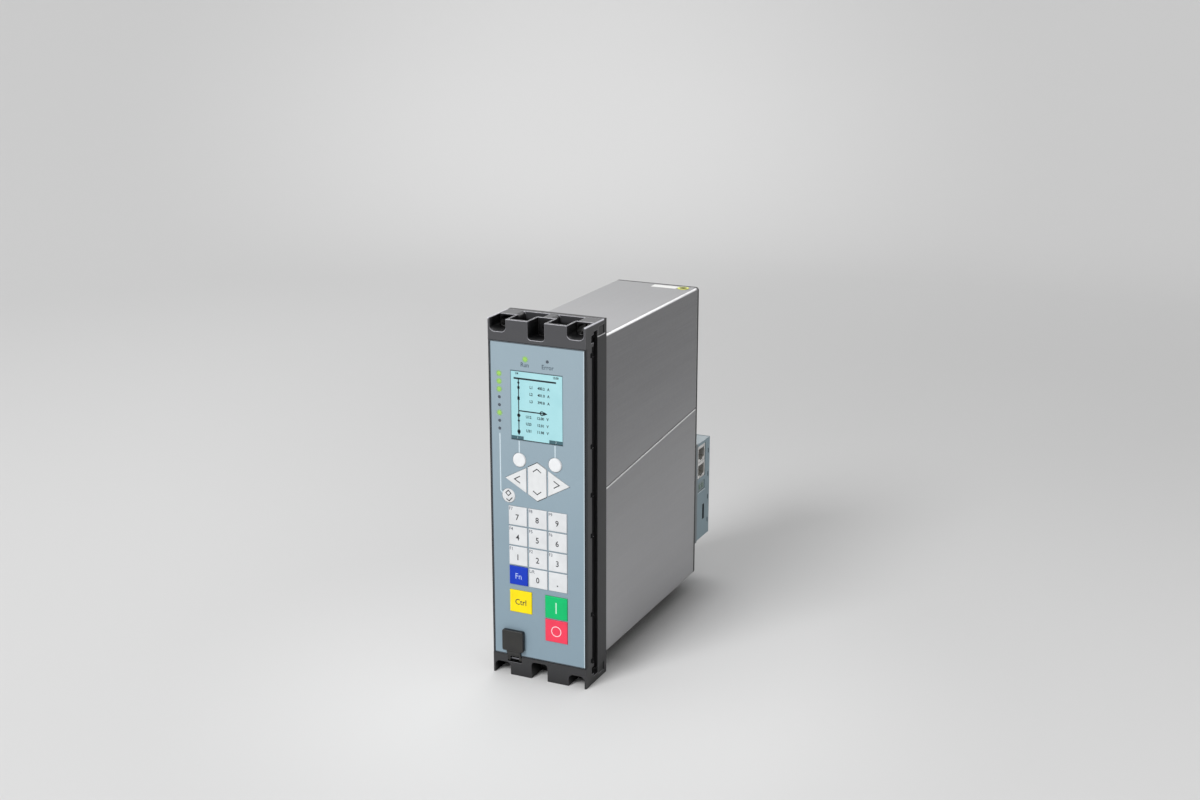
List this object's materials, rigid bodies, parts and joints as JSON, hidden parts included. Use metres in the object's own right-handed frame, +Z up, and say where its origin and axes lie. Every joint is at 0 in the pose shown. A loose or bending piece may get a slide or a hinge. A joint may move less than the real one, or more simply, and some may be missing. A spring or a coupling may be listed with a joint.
{
  "type": "protection relay",
  "caption": "Flush-mounted protection relay with a narrow keypad front, a display, a sheet metal housing and a plug-on communication module at the rear.",
  "frame": {"origin": "middle of the panel plane: the rear face of the mounting collar, between its four fixing slots", "axes": "+Z up along the front, -Y out of the front towards the user, +X to the right seen from the front"},
  "size_m": [0.075, 0.2491, 0.266],
  "materials": {
    "black_moulding": "fine matt grain",
    "grey_moulding": "fine matt grain",
    "dark_panel": "matt",
    "blue_foil": "silk printed foil",
    "display_pane": "lit pane",
    "display_glass": "dull",
    "lit_lamp": "lit",
    "dark_lamp": "clear",
    "grey_rubber": "matt",
    "green_board": "lacquer",
    "bright_shell": "tin plate",
    "zinc_screw": "zinc plate",
    "bare_sheet": "coated sheet, rolled grain",
    "black_sheet": "powder coat",
    "brass_nut": "plain",
    "yellow_mark": "printed",
    "white_label": "paper face",
    "module_grey": "fine matt grain",
    "base_grey": "fine matt grain",
    "terminal_black": "matt",
    "ivory_plastic": "matt",
    "brown_core": "resin",
    "blue_sleeve": "sleeve",
    "pale_key": "silk",
    "blue_key": "silk",
    "yellow_key": "silk",
    "green_key": "silk",
    "red_key": "silk",
    "flap_grey": "fine matt grain"
  },
  "bodies": {
    "relay": {"upper_end": "black_moulding", "lower_end": "black_moulding", "side_walls": "black_moulding", "mounting_collar": "grey_moulding", "operator_panel": "dark_panel", "front_foil": "blue_foil", "display_window": "display_pane", "lcd_module": "display_glass", "lit_light_pipes": "lit_lamp", "dark_light_pipes": "dark_lamp", "keypad_mat": "grey_rubber", "front_board": "green_board", "service_socket": "bright_shell", "flap_pin": "zinc_screw", "front_screws": "zinc_screw", "upper_housing": "bare_sheet", "lower_housing": "bare_sheet", "rear_plate": "black_sheet", "rear_screws": "zinc_screw", "earth_nut": "brass_nut", "earth_mark": "yellow_mark", "top_label": "white_label", "module_base": "base_grey", "module_housing": "module_grey", "module_cover": "module_grey", "module_board": "green_board", "jack_shells": "bright_shell", "current_terminals": "terminal_black", "signal_terminals": "terminal_black", "terminal_screws": "zinc_screw", "card_guides": "ivory_plastic", "plug_in_boards": "green_board", "board_sockets": "ivory_plastic", "current_transformers": "brown_core", "output_relays": "ivory_plastic", "supply_parts": "blue_sleeve", "buffer_battery": "ivory_plastic"},
    "soft_key_left_body": {"soft_key_left": "pale_key"},
    "soft_key_right_body": {"soft_key_right": "pale_key"},
    "lamp_key_body": {"lamp_key": "pale_key"},
    "arrow_left_body": {"arrow_left": "pale_key"},
    "arrow_right_body": {"arrow_right": "pale_key"},
    "digit_0_body": {"digit_0": "pale_key"},
    "digit_1_body": {"digit_1": "pale_key"},
    "digit_2_body": {"digit_2": "pale_key"},
    "digit_3_body": {"digit_3": "pale_key"},
    "digit_4_body": {"digit_4": "pale_key"},
    "digit_5_body": {"digit_5": "pale_key"},
    "digit_6_body": {"digit_6": "pale_key"},
    "digit_7_body": {"digit_7": "pale_key"},
    "digit_8_body": {"digit_8": "pale_key"},
    "digit_9_body": {"digit_9": "pale_key"},
    "point_key_body": {"point_key": "pale_key"},
    "fn_key_body": {"fn_key": "blue_key"},
    "ctrl_key_body": {"ctrl_key": "yellow_key"},
    "on_key_body": {"on_key": "green_key"},
    "off_key_body": {"off_key": "red_key"},
    "arrow_rocker_body": {"arrow_rocker": "pale_key"},
    "service_flap_body": {"service_flap": "flap_grey"}
  },
  "joints": [
    {"name": "soft_key_left_press", "type": "slide", "parent": "relay", "child": "soft_key_left_body", "axis": [0, 1, 0], "range_m": [0, 0.0006], "stiffness_N_per_m": 1500},
    {"name": "soft_key_right_press", "type": "slide", "parent": "relay", "child": "soft_key_right_body", "axis": [0, 1, 0], "range_m": [0, 0.0006], "stiffness_N_per_m": 1500},
    {"name": "lamp_key_press", "type": "slide", "parent": "relay", "child": "lamp_key_body", "axis": [0, 1, 0], "range_m": [0, 0.0006], "stiffness_N_per_m": 1500},
    {"name": "arrow_left_press", "type": "slide", "parent": "relay", "child": "arrow_left_body", "axis": [0, 1, 0], "range_m": [0, 0.0006], "stiffness_N_per_m": 1500},
    {"name": "arrow_right_press", "type": "slide", "parent": "relay", "child": "arrow_right_body", "axis": [0, 1, 0], "range_m": [0, 0.0006], "stiffness_N_per_m": 1500},
    {"name": "digit_0_press", "type": "slide", "parent": "relay", "child": "digit_0_body", "axis": [0, 1, 0], "range_m": [0, 0.0006], "stiffness_N_per_m": 1500},
    {"name": "digit_1_press", "type": "slide", "parent": "relay", "child": "digit_1_body", "axis": [0, 1, 0], "range_m": [0, 0.0006], "stiffness_N_per_m": 1500},
    {"name": "digit_2_press", "type": "slide", "parent": "relay", "child": "digit_2_body", "axis": [0, 1, 0], "range_m": [0, 0.0006], "stiffness_N_per_m": 1500},
    {"name": "digit_3_press", "type": "slide", "parent": "relay", "child": "digit_3_body", "axis": [0, 1, 0], "range_m": [0, 0.0006], "stiffness_N_per_m": 1500},
    {"name": "digit_4_press", "type": "slide", "parent": "relay", "child": "digit_4_body", "axis": [0, 1, 0], "range_m": [0, 0.0006], "stiffness_N_per_m": 1500},
    {"name": "digit_5_press", "type": "slide", "parent": "relay", "child": "digit_5_body", "axis": [0, 1, 0], "range_m": [0, 0.0006], "stiffness_N_per_m": 1500},
    {"name": "digit_6_press", "type": "slide", "parent": "relay", "child": "digit_6_body", "axis": [0, 1, 0], "range_m": [0, 0.0006], "stiffness_N_per_m": 1500},
    {"name": "digit_7_press", "type": "slide", "parent": "relay", "child": "digit_7_body", "axis": [0, 1, 0], "range_m": [0, 0.0006], "stiffness_N_per_m": 1500},
    {"name": "digit_8_press", "type": "slide", "parent": "relay", "child": "digit_8_body", "axis": [0, 1, 0], "range_m": [0, 0.0006], "stiffness_N_per_m": 1500},
    {"name": "digit_9_press", "type": "slide", "parent": "relay", "child": "digit_9_body", "axis": [0, 1, 0], "range_m": [0, 0.0006], "stiffness_N_per_m": 1500},
    {"name": "point_key_press", "type": "slide", "parent": "relay", "child": "point_key_body", "axis": [0, 1, 0], "range_m": [0, 0.0006], "stiffness_N_per_m": 1500},
    {"name": "fn_key_press", "type": "slide", "parent": "relay", "child": "fn_key_body", "axis": [0, 1, 0], "range_m": [0, 0.0006], "stiffness_N_per_m": 1500},
    {"name": "ctrl_key_press", "type": "slide", "parent": "relay", "child": "ctrl_key_body", "axis": [0, 1, 0], "range_m": [0, 0.0006], "stiffness_N_per_m": 1500},
    {"name": "on_key_press", "type": "slide", "parent": "relay", "child": "on_key_body", "axis": [0, 1, 0], "range_m": [0, 0.0006], "stiffness_N_per_m": 1500},
    {"name": "off_key_press", "type": "slide", "parent": "relay", "child": "off_key_body", "axis": [0, 1, 0], "range_m": [0, 0.0006], "stiffness_N_per_m": 1500},
    {"name": "rocker_tip", "type": "hinge", "parent": "relay", "child": "arrow_rocker_body", "pos_m": [0, -0.0296, 0.0183], "axis": [1, 0, 0], "range_deg": [-3, 3], "stiffness_Nm_per_rad": 0.39},
    {"name": "flap_hinge", "type": "hinge", "parent": "relay", "child": "service_flap_body", "pos_m": [-0.02, -0.0321, -0.1205], "axis": [1, 0, 0], "range_deg": [0, 90]}
  ]
}
